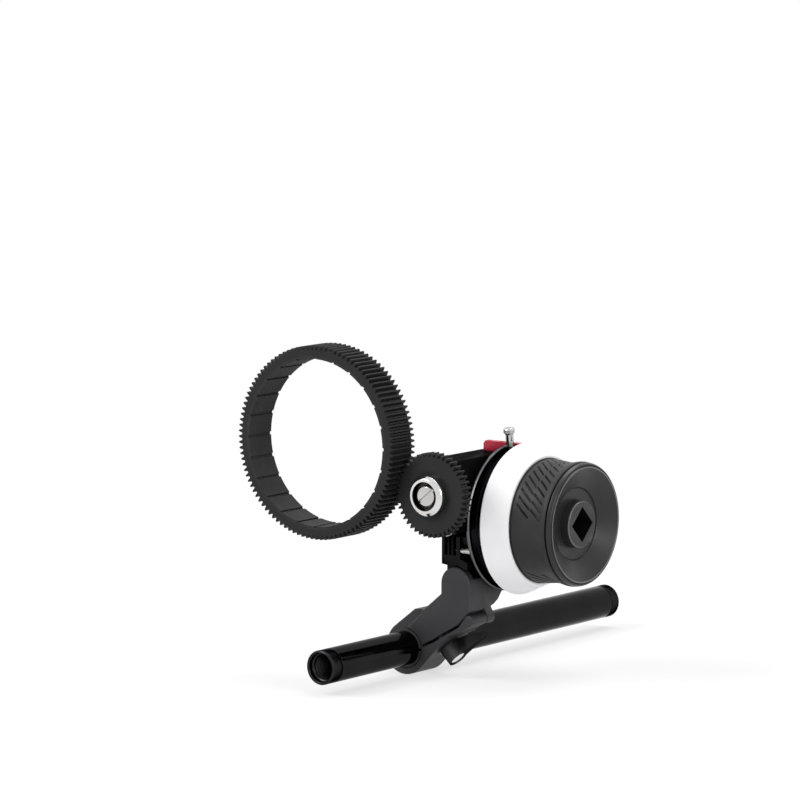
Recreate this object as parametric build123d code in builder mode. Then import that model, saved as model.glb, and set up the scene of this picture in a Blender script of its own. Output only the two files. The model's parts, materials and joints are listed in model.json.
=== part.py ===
# Follow focus unit on a 15 mm rod, with the toothed ring that goes round the lens.
# Millimetres. Origin on the rod's axis at the middle of the clamp.
# +X points to the hand knob, +Y to the back along the rod, +Z up.
from build123d import *
from math import acos, atan2, cos, degrees, pi, radians, sin, sqrt, tan
import os

os.makedirs("parts", exist_ok=True)

# ---------------------------------------------------------------- driving dimensions
run_fit = 0.05  # radial clearance of a part that turns or slides on another

rod_r = 7.5
rod_bore_r = 6.4
rod_front = -68.5
rod_back = 147.5
fitting_collar = 6.5
fitting_spigot = 12.0
fitting_groove = 1.0  # turned groove between each end fitting's collar and the tube
rod_thread_r = 5.1

clamp_half = 8.0  # half depth of the clamp along the rod
liner_r = 8.5
seat_r = liner_r + run_fit

head_x = 26.8  # round head of the arm
head_z = 30.5
head_r = 7.6
head_back = -4.2
saddle_z = 33.0  # flat on which the gearbox stands
arm_right = 34.4

pivot_x = 34.2  # hinge of the jaw
pivot_z = 15.2
pivot_r = 2.4
pin_r = 1.2

screw_along = Vector(0.7193, 0, -0.6947)  # clamp screw, pointing out of the jaw
screw_across = Vector(0.6947, 0, 0.7193)
screw_offset = 13.5
stud_r = 2.5
spot_face = 11.5
washer_thick = 0.6
lever_start = spot_face + washer_thick + 0.1
lever_end = 19.2
lever_r = 4.6
lever_cap_r = 3.6

knob_y = 21.5  # axis of the hand knob, along X
knob_z = 57.5
box_left = 19.2
cover_thick = 1.6
box_right = 34.5
box_front = -16.5
box_top = 86.0
box_bottom = 54.5
drum_r = 28.5
flange_r = 32.2
flange_x = box_right
flange_thick = 1.5

shaft_x = 26.5  # the gear shafts stand in one upright row
drive_z = 71.5
idler_z = 64.5
small_module = 0.5
lens_module = 0.8
drive_teeth = 44
ring_teeth = 104
ring_z = 90.5
mesh_play = 0.12

gear_front = -25.5
gear_back = -20.4
ring_front = -33.5
ring_back = -18.0
ring_bore_r = 38.0
lens_r = 36.6

ring_a_x = 36.2
ring_b_x = 39.6
rings_end = 42.35
stop_ring_r = 31.0
disc_start = 42.5
disc_end = 53.8
disc_bore_r = 27.2
grip_start = 54.0
grip_end = 71.9
grip_r = 26.9
lip_r = 27.1  # the grip flares to this at its front edge, and the disc slides off over it
knob_front_x = 75.0
boss_face = 73.2
socket_side = 11.0

pin_a_angle = 97.9
pin_b_angle = -54.0

# ---------------------------------------------------------------- planes and axes
rod_axis = Axis((0, 0, 0), (0, 1, 0))
knob_axis = Axis((0, knob_y, knob_z), (1, 0, 0))
knob_section = Plane((0, knob_y, knob_z), x_dir=(1, 0, 0), z_dir=(0, 0, 1))


def across(x):
    """Plane square to the knob's axis: local x is +Y and local y is +Z."""
    return Plane((x, knob_y, knob_z), x_dir=(0, 1, 0), z_dir=(1, 0, 0))


def side(x):
    """Plane square to X through the frame's origin: local x is +Y and local y is +Z."""
    return Plane((x, 0, 0), x_dir=(0, 1, 0), z_dir=(1, 0, 0))


def upright(y, x=0.0, z=0.0):
    """Plane square to Y that faces the front: local x is +X and local y is +Z."""
    return Plane((x, y, z), x_dir=(1, 0, 0), z_dir=(0, -1, 0))


def screw_plane(t):
    """Plane square to the clamp screw, t along it: local x is +Y, local y is up the arm."""
    centre = screw_across * screw_offset + screw_along * t
    return Plane(centre, x_dir=(0, 1, 0), z_dir=screw_along)


def radial_plane(x, angle, r):
    """Plane that faces away from the knob's axis, at radius r and an angle from +Y to +Z."""
    out = Vector(0, cos(radians(angle)), sin(radians(angle)))
    return Plane(Vector(x, knob_y, knob_z) + out * r, x_dir=(1, 0, 0), z_dir=out)


def on_circle(r, angle, x=0.0, z=0.0):
    return (x + r * cos(radians(angle)), z + r * sin(radians(angle)))


def round_arc(r, start, end, x=0.0, z=0.0):
    """Arc of an outline about (x, z), from one angle to another."""
    ends = [on_circle(r, angle, x, z) for angle in (start, (start + end) / 2, end)]
    return ThreePointArc(*ends)


def clamp_point(w, t):
    """Point of the clamp's outline, w up the arm and t along the screw."""
    place = screw_across * w + screw_along * t
    return (place.X, place.Z)


# ---------------------------------------------------------------- outlines
def section(plane, points):
    """Straight-sided closed face."""
    with BuildSketch(plane) as outline:
        with BuildLine():
            Polyline(*points, close=True)
        make_face()
    return outline.sketch


def disc(plane, r, hole=0.0):
    """Round face, with a round hole if one is given."""
    with BuildSketch(plane) as outline:
        Circle(r)
        if hole > 0:
            Circle(hole, mode=Mode.SUBTRACT)
    return outline.sketch


def gear_face(plane, module, teeth, first_tooth, play, tall=1.0):
    """Involute spur gear; first_tooth is the angle of a tooth, play thins the teeth."""
    pitch_r = module * teeth / 2
    base_r = pitch_r * cos(radians(20))
    tip_r = pitch_r + tall * module
    root_r = pitch_r - 1.25 * module
    heights = [root_r, max(root_r, base_r) + 0.01, pitch_r, (pitch_r + tip_r) / 2, tip_r]
    half_at_pitch = pi / (2 * teeth) - play / (2 * pitch_r)

    def half_angle(r):
        pressure = acos(min(1.0, base_r / r))
        opening = tan(pressure) - pressure
        return half_at_pitch + tan(radians(20)) - radians(20) - opening

    flank = [(r, half_angle(max(r, base_r))) for r in heights]
    points = []
    for tooth in range(teeth):
        middle = radians(first_tooth) + 2 * pi * tooth / teeth
        for r, half in flank:
            points.append((r * cos(middle - half), r * sin(middle - half)))
        for r, half in reversed(flank):
            points.append((r * cos(middle + half), r * sin(middle + half)))
    return section(plane, points)


bevel_teeth = 18
bevel_pitch_r = small_module * bevel_teeth / 2
bevel_toe = 0.66  # size of the bevel teeth's inner end over their outer end


def bevel_face(plane, scale, first_tooth):
    """Section of a mitre gear's teeth, square to its axis."""
    profile = [(3.75, 4.3), (4.5, 3.0), (5.2, 1.5)]
    points = []
    for tooth in range(bevel_teeth):
        middle = first_tooth + 360 * tooth / bevel_teeth
        points += [on_circle(r * scale, middle - half) for r, half in profile]
        points += [on_circle(r * scale, middle + half) for r, half in reversed(profile)]
    return section(plane, points)


def save(part, name):
    part.label = name
    export_step(part, "parts/" + name + ".step")


# ================================================================ rod
with BuildPart() as rod_tube:
    tube_start = rod_front + fitting_collar
    tube_end = rod_back - fitting_collar
    revolve(
        section(
            Plane.XY,
            [
                (rod_bore_r, tube_start),
                (rod_r, tube_start),
                (rod_r, tube_end),
                (rod_bore_r, tube_end),
            ],
        ),
        axis=rod_axis,
    )
save(rod_tube.part, "rod_tube")


def fitting_profile(end, inward):
    """Half section of a threaded rod end; inward is +1 at the front end and -1 at the back."""
    return [
        (rod_thread_r, end + inward * 3.5),
        (6.1, end + inward * 2.5),
        (6.1, end + inward * 0.4),
        (6.5, end),
        (rod_r - 0.6, end),
        (rod_r, end + inward * 0.6),
        (rod_r, end + inward * (fitting_collar - fitting_groove)),
        (rod_r - 0.4, end + inward * (fitting_collar - fitting_groove)),
        (rod_r - 0.4, end + inward * fitting_collar),
        (rod_bore_r, end + inward * fitting_collar),
        (rod_bore_r, end + inward * (fitting_collar + fitting_spigot)),
        (rod_thread_r, end + inward * (fitting_collar + fitting_spigot)),
    ]


with BuildPart() as rod_end_fittings:
    revolve(section(Plane.XY, fitting_profile(rod_front, 1)), axis=rod_axis)
    revolve(section(Plane.XY, fitting_profile(rod_back, -1)), axis=rod_axis)
save(rod_end_fittings.part, "rod_end_fittings")

# ================================================================ clamp
with BuildPart() as clamp_liner:
    extrude(disc(upright(clamp_half), liner_r, rod_r + run_fit), amount=2 * clamp_half)
    with BuildSketch(upright(clamp_half, rod_r + 0.5)):
        Rectangle(4, 1.2)
    extrude(amount=2 * clamp_half, mode=Mode.SUBTRACT)
save(clamp_liner.part, "clamp_liner")

# outline of the arm, seen from the front
outer_r = 11.5
arm_corners = [
    (arm_right, head_z),
    (arm_right, 19.3),
    (28.3, 13.0),
    (19.6, 8.2),
    (14.2, 4.9),
    on_circle(seat_r, 14),
]
flank_top = (3.7, 17.4)
step_top = (9.7, 17.9)

with BuildPart() as clamp_arm:
    with BuildSketch(upright(clamp_half)) as arm_outline:
        with BuildLine():
            Polyline(*arm_corners)
            round_arc(seat_r, 14, 190)
            Line(on_circle(seat_r, 190), on_circle(outer_r, 190))
            round_arc(outer_r, 190, 132)
            Polyline(
                on_circle(outer_r, 132),
                flank_top,
                step_top,
                (19.2, 25.8),
                (19.2, head_z),
            )
            ThreePointArc(
                (19.2, head_z),
                (head_x, head_z + head_r),
                (arm_right, head_z),
            )
        make_face()
    extrude(amount=2 * clamp_half)
    # behind the head's plate the arm ends in a flat saddle
    with BuildSketch(side(0)):
        with Locations((head_back, saddle_z)):
            Rectangle(20, 20, align=(Align.MIN, Align.MIN))
    extrude(amount=arm_right + 5, mode=Mode.SUBTRACT)
    # the saddle reaches back under the gearbox
    extrude(
        section(
            side(19.2),
            [
                (0, 19.4),
                (7, 19.6),
                (10.5, 20.6),
                (13.5, 22.3),
                (15.8, 25.0),
                (18, 26.6),
                (36, 26.6),
                (36, saddle_z),
                (0, saddle_z),
            ],
        ),
        amount=arm_right - 19.2,
    )
    # the part round the rod lies back from the front face
    with BuildSketch(upright(-clamp_half + 2.2)):
        with BuildLine():
            Polyline((-14, -4), (-14, 20), (8.2, 20), (8.6, 16.4), (1.2, 9.8), (-4, -4), close=True)
        make_face()
    extrude(amount=4, mode=Mode.SUBTRACT)
    chamfer(clamp_arm.faces().sort_by(Axis.Y)[0].edges(), length=0.5)
    # ear that carries the jaw's hinge pin
    with BuildSketch(upright(clamp_half)) as ear:
        with BuildLine():
            Polyline(
                (29.5, 13.9),
                (arm_right, 20.0),
                on_circle(pivot_r, 20, pivot_x, pivot_z),
                (pivot_x, pivot_z),
                on_circle(pivot_r, 200, pivot_x, pivot_z),
                close=True,
            )
        make_face()
        with Locations((pivot_x, pivot_z)):
            Circle(pivot_r)
    extrude(amount=clamp_half - 3.0)
    extrude(disc(upright(clamp_half, pivot_x, pivot_z), pin_r), amount=6, mode=Mode.SUBTRACT)
    extrude(disc(upright(3.0, pivot_x, pivot_z), pivot_r + 0.3), amount=12, mode=Mode.SUBTRACT)
    # seat of the stud and holes of the bolts that hold the gearbox
    extrude(disc(screw_plane(-4.0), stud_r), amount=20, mode=Mode.SUBTRACT)
    with BuildSketch(Plane.XY.offset(saddle_z)):
        with Locations((shaft_x, 12), (shaft_x, 29)):
            Circle(2.0)
    extrude(amount=-20, mode=Mode.SUBTRACT)
    with BuildSketch(Plane.XY.offset(saddle_z - 5)):
        with Locations((shaft_x, 12), (shaft_x, 29)):
            Circle(3.7)
    extrude(amount=-20, mode=Mode.SUBTRACT)
save(clamp_arm.part, "clamp_arm")

with BuildPart() as clamp_jaw:
    jaw_outer_r = 11.6
    with BuildSketch(upright(clamp_half)) as jaw_outline:
        with BuildLine():
            Polyline(
                on_circle(seat_r, 5),
                (14.9, 3.7),
                (20.2, 7.0),
                (28.9, 12.0),
                on_circle(pivot_r, 136, pivot_x, pivot_z),
            )
            round_arc(pivot_r, 136, -44, pivot_x, pivot_z)
            Polyline(
                on_circle(pivot_r, -44, pivot_x, pivot_z),
                clamp_point(28.6, 14.6),
                clamp_point(21.0, spot_face),
                clamp_point(7.6, spot_face),
                on_circle(jaw_outer_r, -44),
            )
            round_arc(jaw_outer_r, -44, -135)
            Line(on_circle(jaw_outer_r, -135), on_circle(seat_r, -135))
            round_arc(seat_r, -135, 5)
        make_face()
    extrude(amount=2 * clamp_half)
    hook_rim = clamp_jaw.faces().sort_by(Axis.Y)[0].edges().sort_by(SortBy.LENGTH)[-1]
    chamfer(hook_rim, length=0.4)
    # room for the arm's ear, and the hinge bore
    with BuildSketch(upright(clamp_half)):
        with BuildLine():
            Polyline((26.5, 0), (40, 0), (40, 25), (26.5, 25), close=True)
        make_face()
    extrude(amount=clamp_half - 2.6, mode=Mode.SUBTRACT)
    extrude(disc(upright(2.6, pivot_x, pivot_z), pin_r + run_fit), amount=9, mode=Mode.SUBTRACT)
    extrude(disc(screw_plane(4.0), stud_r + 0.7), amount=16, mode=Mode.SUBTRACT)
save(clamp_jaw.part, "clamp_jaw")

with BuildPart() as jaw_hinge_pin:
    extrude(disc(upright(clamp_half, pivot_x, pivot_z), pin_r), amount=13.5)
save(jaw_hinge_pin.part, "jaw_hinge_pin")

with BuildPart() as clamp_stud:
    extrude(disc(screw_plane(-4.0), stud_r), amount=lever_end - 3.0 + 4.0)
save(clamp_stud.part, "clamp_stud")

with BuildPart() as thrust_washer:
    extrude(disc(screw_plane(spot_face + 0.05), 5.4, stud_r + run_fit), amount=washer_thick)
save(thrust_washer.part, "thrust_washer")

paddle_turn = 46.0  # from +Y towards the arm's direction
paddle_reach = 17.2

with BuildPart() as clamp_lever:
    extrude(disc(screw_plane(lever_start), lever_r), amount=lever_end - 0.3 - lever_start)
    # the paddle is a long wedge, widest along the screw where it meets the hub
    lean = Vector(0, cos(radians(paddle_turn)), 0) + screw_across * sin(radians(paddle_turn))
    hub_centre = screw_across * screw_offset
    paddle_plane = Plane(hub_centre, x_dir=lean, z_dir=lean.cross(screw_along))
    with BuildSketch(paddle_plane.offset(-5)):
        with BuildLine():
            Polyline(
                (0, lever_start + 0.2),
                (5.0, lever_start + 0.2),
                (9.0, 13.0),
                (paddle_reach - 1.0, 15.6),
                (paddle_reach, 16.2),
                (paddle_reach, 17.2),
                (5.0, lever_end - 0.9),
                (0, lever_end - 0.9),
                close=True,
            )
        make_face()
    extrude(amount=10)
    with BuildSketch(screw_plane(lever_start)):
        with BuildLine():
            Polyline(
                on_circle(lever_r, paddle_turn - 80),
                on_circle(paddle_reach, paddle_turn - 4),
                on_circle(paddle_reach, paddle_turn + 4),
                on_circle(lever_r, paddle_turn + 80),
                close=True,
            )
        make_face()
        Circle(lever_r)
    extrude(amount=lever_end - lever_start, mode=Mode.INTERSECT)
    extrude(disc(screw_plane(lever_start), stud_r + run_fit), amount=4.4, mode=Mode.SUBTRACT)
    extrude(disc(screw_plane(lever_end - 0.9), lever_cap_r), amount=1, mode=Mode.SUBTRACT)
save(clamp_lever.part, "clamp_lever")

with BuildPart() as lever_cap:
    extrude(disc(screw_plane(lever_end - 0.9), lever_cap_r), amount=0.9)
    chamfer(lever_cap.faces().sort_by(Axis(Vector(0, 0, 0), screw_along))[-1].edges(), length=0.3)
save(lever_cap.part, "lever_cap")

with BuildPart() as arm_bolts:
    for bolt_y in (12, 29):
        bolt_seat = Plane((shaft_x, bolt_y, saddle_z - 5), x_dir=(1, 0, 0), z_dir=(0, 0, 1))
        extrude(disc(bolt_seat, 2.0), amount=13)
        extrude(disc(bolt_seat, 3.5), amount=-3.6)
save(arm_bolts.part, "arm_bolts")

# ================================================================ gearbox
casing_x = box_left + cover_thick


def casing_outline(x):
    """Side outline shared by the housing and its cover: a box in front of a drum."""
    with BuildSketch(side(x)) as outline:
        with Locations((box_front, box_bottom)):
            Rectangle(
                knob_y - box_front,
                box_top - box_bottom,
                align=(Align.MIN, Align.MIN),
            )
        fillet(outline.vertices().group_by(Axis.Y)[0].sort_by(Axis.Y), radius=2.5)
        with Locations((knob_y, knob_z)):
            Circle(drum_r)
        with Locations((knob_y, 0)):
            Rectangle(100, 2 * saddle_z, mode=Mode.SUBTRACT)
        corner = outline.vertices().filter_by(lambda v: v.Y < box_front + 1 and v.Z > box_top - 1)
        fillet(corner, radius=7)
    return outline.sketch


flange_screw_angle = 10
gear_room = (-10.5, 5.0)  # along Y, between the front wall and the bulkhead
bevel_room_start = 12.0
wall_x = 32.0
bearing_r = 5.0
lay_bearing_len = 4.0
drive_shaft_r = 2.5
cover_screw_places = [(-13.5, idler_z), (-12, 80), (2, 83), (40, 74), (45, 50), (36, 37), (9, 38)]
cover_screw_len = 5.0
bridge_y = -6.3

with BuildPart() as gearbox_housing:
    extrude(casing_outline(casing_x), amount=box_right - casing_x)
    # the neck stands on the saddle behind the arm's head
    with BuildSketch(upright(8)):
        with BuildLine():
            Polyline((19.8, saddle_z), (29.4, saddle_z), (29.4, 56), (19.8, 56), close=True)
        make_face()
    extrude(amount=8 - (head_back + 0.2))
    with BuildSketch(upright(head_back + 0.2)):
        with BuildLine():
            Polyline((19.8, 39.2), (33.4, 37.4), (33.4, 40.6), (29.4, 42), (29.4, 50.7))
            ThreePointArc((29.4, 50.7), (30.5, 53.4), (33.2, box_bottom))
            Polyline((33.2, box_bottom), (33.2, 56), (19.8, 56), (19.8, 39.2))
        make_face()
        with Locations((head_x, head_z)):
            Circle(head_r + 1.0, mode=Mode.SUBTRACT)
    extrude(amount=head_back + 0.2 + clamp_half)
    extrude(casing_outline(box_left), amount=cover_thick, mode=Mode.SUBTRACT)
    # ribbed recess in the neck's front
    with BuildSketch(upright(-clamp_half + 2.4)):
        with Locations((24.35, 47.7)):
            Rectangle(6.3, 8.8)
        with Locations((23.3, 47.7), (25.4, 47.7)):
            Rectangle(0.7, 8.8, mode=Mode.SUBTRACT)
    extrude(amount=5, mode=Mode.SUBTRACT)
    # room for the spur gears and for the bevel gears
    room_low, room_high = 51.5, 78.0
    with BuildSketch(side(casing_x)):
        with Locations((knob_y, knob_z)):
            Circle(11)
        with Locations((bevel_room_start, knob_z)):
            Rectangle(7, 30, align=(Align.MAX, Align.CENTER), mode=Mode.SUBTRACT)
        with Locations((gear_room[0], room_low)):
            Rectangle(
                gear_room[1] - gear_room[0],
                room_high - room_low,
                align=(Align.MIN, Align.MIN),
            )
    extrude(amount=wall_x - casing_x, mode=Mode.SUBTRACT)
    extrude(disc(across(wall_x - 1), 8.5), amount=10, mode=Mode.SUBTRACT)
    # seats of the shaft bearings, and the idler's pin
    for shaft_z in (knob_z, drive_z):
        seat = upright(gear_room[0], shaft_x, shaft_z)
        extrude(disc(seat, bearing_r), amount=lay_bearing_len, mode=Mode.SUBTRACT)
        seat = upright(bevel_room_start, shaft_x, shaft_z)
        extrude(disc(seat, bearing_r), amount=lay_bearing_len, mode=Mode.SUBTRACT)
        extrude(disc(seat, 3.4), amount=8, mode=Mode.SUBTRACT)
    extrude(disc(upright(-14, shaft_x, drive_z), 3.2), amount=4, mode=Mode.SUBTRACT)
    extrude(disc(upright(9, shaft_x, idler_z), 1.5), amount=22, mode=Mode.SUBTRACT)
    # screw holes: cover, flange, foot, pointer and bridge screw
    with BuildSketch(side(casing_x)):
        with Locations(*cover_screw_places):
            Circle(1.0)
    extrude(amount=6, mode=Mode.SUBTRACT)
    with BuildSketch(across(box_right)):
        with PolarLocations(24.0, 6, start_angle=flange_screw_angle):
            Circle(1.5)
    extrude(amount=-2.4, mode=Mode.SUBTRACT)
    with BuildSketch(Plane.XY.offset(saddle_z)):
        with Locations((shaft_x, 12), (shaft_x, 29)):
            Circle(2.0)
    extrude(amount=8.2, mode=Mode.SUBTRACT)
    with BuildSketch(Plane.XY.offset(box_top)):
        with Locations((24.8, 20.5), (31.6, 20.5)):
            Circle(0.9)
    extrude(amount=-5, mode=Mode.SUBTRACT)
    extrude(disc(Plane((29.4, bridge_y, 45.5), z_dir=(1, 0, 0)), 1.0), amount=-3, mode=Mode.SUBTRACT)
save(gearbox_housing.part, "gearbox_housing")

with BuildPart() as gearbox_cover:
    extrude(casing_outline(box_left), amount=cover_thick)
    chamfer(gearbox_cover.faces().sort_by(Axis.X)[0].edges(), length=0.6)
    with BuildSketch(side(box_left)):
        with Locations(*cover_screw_places):
            Circle(1.0)
    extrude(amount=cover_thick, mode=Mode.SUBTRACT)
    with BuildSketch(side(box_left)):
        with Locations(*cover_screw_places):
            Circle(1.9)
    extrude(amount=1.0, mode=Mode.SUBTRACT)
save(gearbox_cover.part, "gearbox_cover")

with BuildPart() as cover_screws:
    for place_y, place_z in cover_screw_places:
        start = Plane((box_left + 0.1, place_y, place_z), x_dir=(0, 1, 0), z_dir=(1, 0, 0))
        extrude(disc(start, 1.8), amount=0.9)
        extrude(disc(start, 1.0), amount=cover_screw_len)
        with BuildSketch(start):
            RegularPolygon(0.75, 6)
        extrude(amount=0.6, mode=Mode.SUBTRACT)
save(cover_screws.part, "cover_screws")

boss_r = 10.5
boss_end = 46.3
knob_bearing_r = 8.0
knob_bearing_len = 5.0
flange_outer_x = flange_x + flange_thick
pointer_y = 20.5
pointer_width = 3.0
pointer_top = 90.4
pointer_under = 88.85

with BuildPart() as flange_plate:
    extrude(disc(across(flange_x), flange_r), amount=flange_thick)
    chamfer(flange_plate.faces().sort_by(Axis.X)[0].edges(), length=0.4)
    chamfer(flange_plate.faces().sort_by(Axis.X)[-1].edges(), length=0.5)
    extrude(disc(across(flange_outer_x), boss_r), amount=boss_end - flange_outer_x)
    extrude(disc(across(flange_x), 6.6), amount=0.5, mode=Mode.SUBTRACT)
    extrude(disc(across(flange_x + 0.5), knob_bearing_r), amount=5.0, mode=Mode.SUBTRACT)
    extrude(disc(across(flange_x + 5.5), 7.2), amount=1.0, mode=Mode.SUBTRACT)
    extrude(disc(across(flange_x + 6.5), knob_bearing_r), amount=8.0, mode=Mode.SUBTRACT)
    # notch under the pointer
    with BuildSketch(side(flange_x)):
        with Locations((pointer_y, pointer_under)):
            Rectangle(pointer_width + 0.4, 5, align=(Align.CENTER, Align.MIN))
    extrude(amount=flange_thick, mode=Mode.SUBTRACT)
    with BuildSketch(across(flange_x)):
        with PolarLocations(24.0, 6, start_angle=flange_screw_angle):
            Circle(1.5)
    extrude(amount=flange_thick, mode=Mode.SUBTRACT)
    with BuildSketch(across(flange_outer_x)):
        with PolarLocations(24.0, 6, start_angle=flange_screw_angle):
            Circle(2.8)
    extrude(amount=-1.0, mode=Mode.SUBTRACT)
    extrude(disc(Plane((flange_x, bridge_y, 45.5), z_dir=(1, 0, 0)), 1.0), amount=3, mode=Mode.SUBTRACT)
save(flange_plate.part, "flange_plate")

with BuildPart() as flange_screws:
    for turn in range(6):
        angle = flange_screw_angle + 60 * turn
        out = Vector(0, cos(radians(angle)), sin(radians(angle)))
        head = Plane(Vector(flange_outer_x - 0.1, knob_y, knob_z) + out * 24.0, z_dir=(1, 0, 0))
        extrude(disc(head, 2.7), amount=-0.9)
        extrude(disc(head, 1.5), amount=-3.6)
        with BuildSketch(head):
            RegularPolygon(1.1, 6)
        extrude(amount=-0.7, mode=Mode.SUBTRACT)
save(flange_screws.part, "flange_screws")


def bearing(plane, outer, inner, length):
    """Ball bearing as one ring, with its shields set back from its faces."""
    extrude(disc(plane, outer, inner), amount=length)
    gap = (outer - inner) * 0.28
    groove = disc(plane, outer - gap, inner + gap)
    extrude(groove, amount=0.25, mode=Mode.SUBTRACT)
    groove = disc(plane.offset(length), outer - gap, inner + gap)
    extrude(groove, amount=-0.25, mode=Mode.SUBTRACT)


knob_shaft_r = 3.96

with BuildPart() as knob_bearings:
    bearing(across(flange_x + 0.5), knob_bearing_r, 4.0, knob_bearing_len)
    bearing(across(flange_x + 6.5), knob_bearing_r, 4.0, knob_bearing_len)
save(knob_bearings.part, "knob_bearings")

with BuildPart() as layshaft_bearings:
    bearing(upright(gear_room[0], shaft_x, knob_z), bearing_r, drive_shaft_r, lay_bearing_len)
    bearing(upright(bevel_room_start, shaft_x, knob_z), bearing_r, drive_shaft_r, lay_bearing_len)
save(layshaft_bearings.part, "layshaft_bearings")

with BuildPart() as drive_shaft_bearings:
    bearing(upright(gear_room[0], shaft_x, drive_z), bearing_r, drive_shaft_r, lay_bearing_len)
    bearing(upright(bevel_room_start, shaft_x, drive_z), bearing_r, drive_shaft_r, lay_bearing_len)
save(drive_shaft_bearings.part, "drive_shaft_bearings")

with BuildPart() as idler_pin:
    extrude(disc(upright(9, shaft_x, idler_z), 1.5), amount=22)
save(idler_pin.part, "idler_pin")

with BuildPart() as bridge_screw:
    extrude(disc(Plane((26.4, bridge_y, 45.5), z_dir=(1, 0, 0)), 1.0), amount=9.4)
    extrude(disc(Plane((29.4, bridge_y, 45.5), z_dir=(1, 0, 0)), 1.5), amount=flange_x - 29.4)
save(bridge_screw.part, "bridge_screw")

with BuildPart() as index_pointer:
    with BuildSketch(upright(pointer_y + pointer_width / 2)):
        with BuildLine():
            Polyline(
                (22.4, box_top),
                (flange_x - 0.2, box_top),
                (flange_x - 0.2, pointer_under),
                (42.0, pointer_under),
                (42.5, pointer_under + 0.5),
                (42.5, pointer_top),
                (23.4, pointer_top),
                (22.4, pointer_top - 1.2),
                close=True,
            )
        make_face()
    extrude(amount=pointer_width)
    with BuildSketch(Plane.XY.offset(pointer_top)):
        with Locations((24.8, pointer_y), (31.6, pointer_y)):
            Circle(0.9)
    extrude(amount=-6, mode=Mode.SUBTRACT)
    with BuildSketch(Plane.XY.offset(pointer_top)):
        with Locations((24.8, pointer_y), (31.6, pointer_y)):
            Circle(1.2)
    extrude(amount=-1.2, mode=Mode.SUBTRACT)
save(index_pointer.part, "index_pointer")

with BuildPart() as pointer_screws:
    for place_x in (24.8, 31.6):
        head = Plane((place_x, pointer_y, pointer_top - 0.2), z_dir=(0, 0, 1))
        extrude(disc(head, 1.15), amount=-1.0)
        extrude(disc(head, 0.9), amount=-8.5)
save(pointer_screws.part, "pointer_screws")

# ================================================================ knob and its shaft
web_x = 47.2
web_end = 52.0
nose_r = 22.9
nose_end = 66.0
hub_face = 53.9

with BuildPart() as knob_shaft:
    revolve(
        section(
            knob_section,
            [
                (shaft_x + 3.0, 0),
                (shaft_x + 3.0, 2.5),
                (box_right - 0.1, 2.5),
                (box_right - 0.1, knob_shaft_r),
                (46.4, knob_shaft_r),
                (46.4, 3.6),
                (47.1, 3.6),
                (47.1, knob_shaft_r),
                (web_end, knob_shaft_r),
                (web_end, 8.0),
                (web_end + 2.5, 8.0),
                (web_end + 2.5, 0),
            ],
        ),
        axis=knob_axis,
    )
save(knob_shaft.part, "knob_shaft")

bevel_heel = bevel_pitch_r
bevel_inner = bevel_pitch_r * bevel_toe

with BuildPart() as knob_bevel_gear:
    loft(
        [
            bevel_face(across(shaft_x + bevel_heel), 1.0, 0.0),
            bevel_face(across(shaft_x + bevel_inner), bevel_toe, 0.0),
        ],
        ruled=True,
    )
    extrude(disc(across(shaft_x + bevel_heel), 3.7), amount=box_right - 0.1 - shaft_x - bevel_heel)
    extrude(disc(across(shaft_x), 2.5), amount=12, mode=Mode.SUBTRACT)
save(knob_bevel_gear.part, "knob_bevel_gear")

with BuildPart() as shaft_circlip:
    extrude(disc(across(46.4), 5.4, 3.6), amount=0.7)
    with BuildSketch(across(46.4)):
        with Locations((0, -4.5)):
            Rectangle(2.2, 4)
    extrude(amount=0.7, mode=Mode.SUBTRACT)
save(shaft_circlip.part, "shaft_circlip")

hub_ring_r = 23.95
hub_disc_r = disc_bore_r - 0.08
knob_screw_r = 18.5

with BuildPart() as knob_hub:
    revolve(
        section(
            knob_section,
            [
                (ring_a_x, 10.9),
                (ring_a_x, hub_ring_r),
                (rings_end + 0.05, hub_ring_r),
                (rings_end + 0.05, hub_disc_r - 0.3),
                (rings_end + 0.35, hub_disc_r),
                (hub_face - 0.3, hub_disc_r),
                (hub_face, hub_disc_r - 0.3),
                (hub_face, nose_r),
                (nose_end, nose_r),
                (nose_end, 14.0),
                (web_end, 14.0),
                (web_end, knob_shaft_r),
                (web_x, knob_shaft_r),
                (web_x, 10.9),
            ],
        ),
        axis=knob_axis,
    )
    with BuildSketch(across(ring_a_x)):
        with PolarLocations(knob_screw_r, 4, start_angle=45):
            Circle(3.0)
    extrude(amount=56 - ring_a_x, mode=Mode.SUBTRACT)
    with BuildSketch(across(56)):
        with PolarLocations(knob_screw_r, 4, start_angle=45):
            Circle(1.5)
    extrude(amount=10, mode=Mode.SUBTRACT)
    for turn in range(4):
        pocket = radial_plane(48, 90 * turn, 25.0)
        extrude(disc(pocket, 2.0), amount=4, mode=Mode.SUBTRACT)
save(knob_hub.part, "knob_hub")

with BuildPart() as disc_magnets:
    for turn in range(4):
        extrude(disc(radial_plane(48, 90 * turn, 25.0), 2.0), amount=2.0)
save(disc_magnets.part, "disc_magnets")

with BuildPart() as knob_screws:
    for turn in range(4):
        angle = 45 + 90 * turn
        out = Vector(0, cos(radians(angle)), sin(radians(angle)))
        seat = Plane(Vector(56, knob_y, knob_z) + out * knob_screw_r, z_dir=(1, 0, 0))
        extrude(disc(seat, 1.5), amount=13.0)
        extrude(disc(seat, 2.75), amount=-3.0)
        with BuildSketch(seat.offset(-3.0)):
            RegularPolygon(1.4, 6)
        extrude(amount=1.6, mode=Mode.SUBTRACT)
save(knob_screws.part, "knob_screws")

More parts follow.
